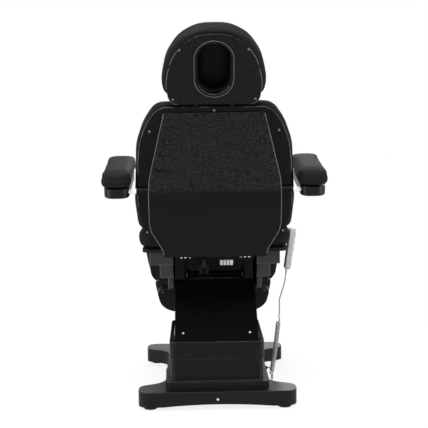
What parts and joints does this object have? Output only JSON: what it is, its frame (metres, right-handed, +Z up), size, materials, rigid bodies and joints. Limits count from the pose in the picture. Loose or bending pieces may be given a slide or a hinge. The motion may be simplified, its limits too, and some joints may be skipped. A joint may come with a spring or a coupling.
{
  "type": "electric treatment chair",
  "caption": "Electric treatment chair with parallelogram lift, reclining back, headrest with face hole, swing-up armrests, leg rest, sliding footrest and corded handset.",
  "frame": {"origin": "middle of the overall width and length, without the cord, on the floor", "axes": "+Z up, +Y the way the sitter faces, +X the sitter's right"},
  "size_m": [0.844, 1.0608, 1.4341],
  "materials": {
    "leather_black": "satin",
    "abs_black": "fine grain",
    "cover_gloss": "gloss",
    "steel_dark": "powder coat",
    "steel_light": "satin",
    "zinc": "satin",
    "rubber": "matte",
    "plastic_grey": "satin",
    "button_dark": "satin",
    "plastic_white": "satin",
    "cord_grey": "satin",
    "wood_board": "raw"
  },
  "bodies": {
    "base": {"base_frame": "steel_dark", "base_cover": "abs_black", "base_skirt": "abs_black", "levelling_feet": "rubber", "base_screws": "zinc", "lift_pivot_pins": "zinc", "lift_motor": "steel_dark", "control_box": "abs_black", "power_inlet": "abs_black", "cord_socket": "abs_black", "cord_curl": "cord_grey", "cord_lead": "cord_grey"},
    "lift_arm": {"lift_arm_upper": "steel_dark", "arm_cover": "cover_gloss", "arm_cover_screws": "zinc"},
    "lower_arm": {"lift_arm_lower": "steel_dark"},
    "lift_rod": {"lift_rod": "steel_dark"},
    "carriage": {"seat_frame": "steel_dark", "seat_board": "wood_board", "seat_cushion": "leather_black", "seat_skirt_left": "abs_black", "seat_skirt_right": "abs_black", "hinge_pins": "zinc", "wiring_plugs": "plastic_white", "back_motor": "steel_dark", "leg_motor": "steel_dark", "handset_hook": "steel_dark", "handset_back_case": "plastic_grey", "handset_front_case": "plastic_grey", "handset_strain_relief": "plastic_grey"},
    "back_rod": {"back_rod": "steel_dark"},
    "leg_rod": {"leg_rod": "steel_dark"},
    "back": {"back_frame": "steel_dark", "back_cushion": "leather_black", "back_shell": "abs_black", "back_shell_screws": "zinc"},
    "head_posts": {"headrest_posts": "zinc"},
    "head": {"headrest_bracket": "steel_dark", "headrest_cushion": "leather_black", "headrest_shell": "abs_black", "headrest_screws": "zinc"},
    "face_plug": {"face_plug": "leather_black"},
    "armrest_left": {"armrest_left_tube": "steel_light", "armrest_left_tray": "abs_black", "armrest_left_pad": "leather_black"},
    "armrest_right": {"armrest_right_tube": "steel_light", "armrest_right_tray": "abs_black", "armrest_right_pad": "leather_black"},
    "legrest": {"legrest_frame": "steel_dark", "legrest_cushion": "leather_black", "legrest_shell": "abs_black"},
    "footrest": {"footrest_frame": "steel_dark", "footrest_cushion": "leather_black", "footrest_shell": "abs_black"},
    "button_1": {"handset_button_1": "button_dark"},
    "button_2": {"handset_button_2": "button_dark"},
    "button_3": {"handset_button_3": "button_dark"},
    "button_4": {"handset_button_4": "button_dark"},
    "button_5": {"handset_button_5": "button_dark"},
    "button_6": {"handset_button_6": "button_dark"}
  },
  "joints": [
    {"name": "lift", "type": "hinge", "parent": "base", "child": "lift_arm", "pos_m": [0, -0.27264, 0.195], "axis": [1, 0, 0], "range_deg": [-15, 25], "deforming": ["cord_curl", "cord_lead"]},
    {"name": "seat_level", "type": "hinge", "parent": "lift_arm", "child": "carriage", "pos_m": [0, 0.00975, 0.44927], "axis": [1, 0, 0], "range_deg": [-25, 15]},
    {"name": "lower_arm", "type": "hinge", "parent": "base", "child": "lower_arm", "pos_m": [0, -0.22264, 0.139], "axis": [1, 0, 0], "range_deg": [-15, 25]},
    {"name": "lift_rod", "type": "slide", "parent": "base", "child": "lift_rod", "axis": [0, 1, 0], "range_m": [-0.018, 0.03]},
    {"name": "recline", "type": "hinge", "parent": "carriage", "child": "back", "pos_m": [0, -0.24564, 0.575], "axis": [1, 0, 0], "range_deg": [0, 65]},
    {"name": "back_rod", "type": "slide", "parent": "carriage", "child": "back_rod", "axis": [0, 1, 0], "range_m": [0, 0.0645]},
    {"name": "legrest", "type": "hinge", "parent": "carriage", "child": "legrest", "pos_m": [0, 0.24036, 0.575], "axis": [1, 0, 0], "range_deg": [0, 60]},
    {"name": "leg_rod", "type": "slide", "parent": "carriage", "child": "leg_rod", "axis": [0, 1, 0], "range_m": [0, 0.0551]},
    {"name": "footrest_slide", "type": "slide", "parent": "legrest", "child": "footrest", "axis": [0, 0.5, -0.866], "range_m": [0, 0.12]},
    {"name": "headrest_height", "type": "slide", "parent": "back", "child": "head_posts", "axis": [0, -0.225, 0.9744], "range_m": [0, 0.07]},
    {"name": "headrest_tilt", "type": "hinge", "parent": "head_posts", "child": "head", "pos_m": [0, -0.38908, 1.16075], "axis": [1, 0, 0], "range_deg": [-20, 15]},
    {"name": "face_plug_pull", "type": "slide", "parent": "head", "child": "face_plug", "axis": [0, 0.9063, 0.4226], "range_m": [0, 0.08]},
    {"name": "armrest_left_swing", "type": "hinge", "parent": "back", "child": "armrest_left", "pos_m": [0, -0.33231, 0.82593], "axis": [1, 0, 0], "range_deg": [0, 85]},
    {"name": "armrest_right_swing", "type": "hinge", "parent": "back", "child": "armrest_right", "pos_m": [0, -0.33231, 0.82593], "axis": [1, 0, 0], "range_deg": [0, 85]},
    {"name": "button_1_press", "type": "slide", "parent": "carriage", "child": "button_1", "axis": [-0.9895, 0, 0.1444], "range_m": [0, 0.0015], "stiffness_N_per_m": 300},
    {"name": "button_2_press", "type": "slide", "parent": "carriage", "child": "button_2", "axis": [-0.9895, 0, 0.1444], "range_m": [0, 0.0015], "stiffness_N_per_m": 300},
    {"name": "button_3_press", "type": "slide", "parent": "carriage", "child": "button_3", "axis": [-0.9895, 0, 0.1444], "range_m": [0, 0.0015], "stiffness_N_per_m": 300},
    {"name": "button_4_press", "type": "slide", "parent": "carriage", "child": "button_4", "axis": [-0.9895, 0, 0.1444], "range_m": [0, 0.0015], "stiffness_N_per_m": 300},
    {"name": "button_5_press", "type": "slide", "parent": "carriage", "child": "button_5", "axis": [-0.9895, 0, 0.1444], "range_m": [0, 0.0015], "stiffness_N_per_m": 300},
    {"name": "button_6_press", "type": "slide", "parent": "carriage", "child": "button_6", "axis": [-0.9895, 0, 0.1444], "range_m": [0, 0.0015], "stiffness_N_per_m": 300}
  ],
  "couplings": [
    {"joint": "seat_level", "follows": "lift", "ratio": -1},
    {"joint": "lower_arm", "follows": "lift", "ratio": 1},
    {"joint": "lift_rod", "follows": "lift", "m_per_rad": 0.0682},
    {"joint": "back_rod", "follows": "recline", "m_per_rad": 0.0568},
    {"joint": "leg_rod", "follows": "legrest", "m_per_rad": 0.0525}
  ]
}
